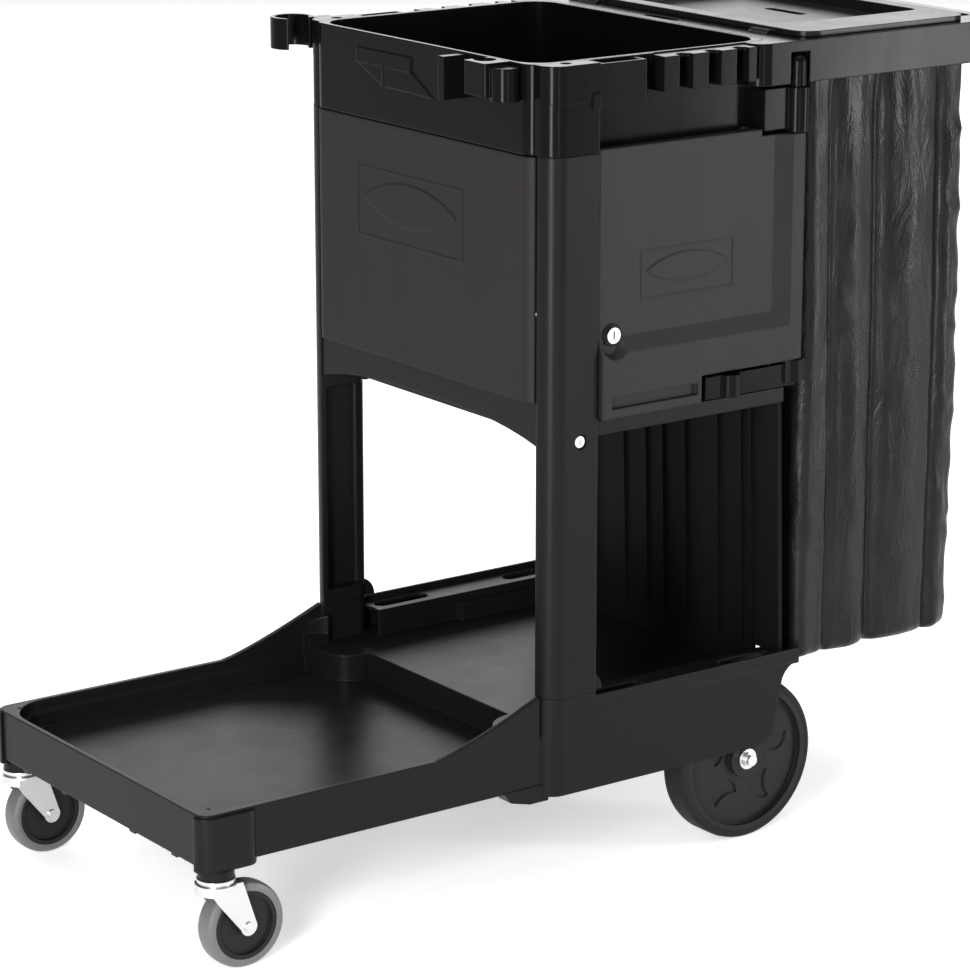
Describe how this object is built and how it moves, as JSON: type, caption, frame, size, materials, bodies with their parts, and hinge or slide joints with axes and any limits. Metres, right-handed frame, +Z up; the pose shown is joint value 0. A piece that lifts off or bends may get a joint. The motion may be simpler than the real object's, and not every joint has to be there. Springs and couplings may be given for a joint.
{
  "type": "housekeeping cart",
  "caption": "Rolling housekeeping cart with low front platform, lockable cabinet, deep top tray, lower shelf and hanging waste bag under a hinged lid.",
  "frame": {"origin": "centre of the bounding box's footprint, on the floor under the wheels", "axes": "+X along the cart from the front platform to the push handle, +Y across it to the far side, +Z up"},
  "size_m": [1.168, 0.56, 0.987],
  "materials": {
    "base_black": "satin moulded black, fine grain",
    "back_black": "satin moulded black",
    "panel_grey": "matt warm dark grey",
    "tray_gloss": "polished moulded black",
    "door_grey": "matt cool dark grey, fine grain",
    "rod_black": "semi-gloss black",
    "bag_vinyl": "coated woven vinyl, glossy",
    "lock_black": "satin black",
    "lock_chrome": "polished chrome",
    "steel_zinc": "bright zinc plate",
    "hub_black": "satin moulded black",
    "tyre_black": "matt black rubber",
    "tread_grey": "smooth grey thermoplastic rubber"
  },
  "bodies": {
    "cart": {"base_deck": "base_black", "corner_block_near": "base_black", "corner_block_far": "base_black", "upright_near": "base_black", "upright_far": "base_black", "mid_shelf": "base_black", "lower_back": "back_black", "cabinet_back": "back_black", "front_panel": "panel_grey", "top_tray": "tray_gloss", "rim_side_near": "tray_gloss", "rim_side_far": "tray_gloss", "broom_hook": "tray_gloss", "handle_clip": "tray_gloss", "bag_frame": "tray_gloss", "lid_pins": "steel_zinc", "bag": "bag_vinyl", "bag_clips": "tray_gloss", "hinge_rod_near": "rod_black", "hinge_rod_far": "rod_black", "upper_hinge_brackets": "tray_gloss", "lower_hinge_brackets": "tray_gloss", "frame_bolts": "steel_zinc", "rear_axle_rod": "steel_zinc", "axle_washers": "steel_zinc", "axle_caps": "steel_zinc", "caster_stem_near": "steel_zinc", "caster_stem_far": "steel_zinc"},
    "lid_panel": {"lid": "tray_gloss"},
    "door_near": {"door_near": "door_grey", "lock_case_near": "lock_black"},
    "door_far": {"door_far": "door_grey", "lock_case_far": "lock_black"},
    "lock_near": {"lock_plug_near": "lock_chrome", "lock_cam_near": "steel_zinc"},
    "lock_far": {"lock_plug_far": "lock_chrome", "lock_cam_far": "steel_zinc"},
    "rear_wheel_near": {"rear_hub_near": "hub_black", "rear_tyre_near": "tyre_black"},
    "rear_wheel_far": {"rear_hub_far": "hub_black", "rear_tyre_far": "tyre_black"},
    "caster_near": {"caster_fork_near": "steel_zinc", "caster_axle_near": "steel_zinc"},
    "caster_far": {"caster_fork_far": "steel_zinc", "caster_axle_far": "steel_zinc"},
    "caster_wheel_near": {"caster_hub_near": "hub_black", "caster_tyre_near": "tread_grey"},
    "caster_wheel_far": {"caster_hub_far": "hub_black", "caster_tyre_far": "tread_grey"}
  },
  "joints": [
    {"name": "caster_swivel_near", "type": "hinge", "parent": "cart", "child": "caster_near", "pos_m": [-0.557, -0.24, 0.106], "axis": [0, 0, 1], "continuous": true},
    {"name": "caster_roll_near", "type": "hinge", "parent": "caster_near", "child": "caster_wheel_near", "pos_m": [-0.526, -0.24, 0.0508], "axis": [0, 1, 0], "continuous": true},
    {"name": "rear_roll_near", "type": "hinge", "parent": "cart", "child": "rear_wheel_near", "pos_m": [0.1935, -0.242, 0.1016], "axis": [0, 1, 0], "continuous": true},
    {"name": "door_swing_near", "type": "hinge", "parent": "cart", "child": "door_near", "pos_m": [0.25, -0.263, 0.73], "axis": [0, 0, 1], "range_deg": [0, 110]},
    {"name": "lock_turn_near", "type": "hinge", "parent": "door_near", "child": "lock_near", "pos_m": [-0.025, -0.255, 0.663], "axis": [0, 1, 0], "range_deg": [0, 90]},
    {"name": "caster_swivel_far", "type": "hinge", "parent": "cart", "child": "caster_far", "pos_m": [-0.557, 0.206, 0.106], "axis": [0, 0, 1], "continuous": true},
    {"name": "caster_roll_far", "type": "hinge", "parent": "caster_far", "child": "caster_wheel_far", "pos_m": [-0.526, 0.206, 0.0508], "axis": [0, 1, 0], "continuous": true},
    {"name": "rear_roll_far", "type": "hinge", "parent": "cart", "child": "rear_wheel_far", "pos_m": [0.1935, 0.208, 0.1016], "axis": [0, 1, 0], "continuous": true},
    {"name": "door_swing_far", "type": "hinge", "parent": "cart", "child": "door_far", "pos_m": [0.25, 0.229, 0.73], "axis": [0, 0, -1], "range_deg": [0, 110]},
    {"name": "lock_turn_far", "type": "hinge", "parent": "door_far", "child": "lock_far", "pos_m": [-0.025, 0.221, 0.663], "axis": [0, 1, 0], "range_deg": [0, 90]},
    {"name": "lid_lift", "type": "hinge", "parent": "cart", "child": "lid_panel", "pos_m": [0.257, -0.017, 0.977], "axis": [0, -1, 0], "range_deg": [0, 100]}
  ]
}
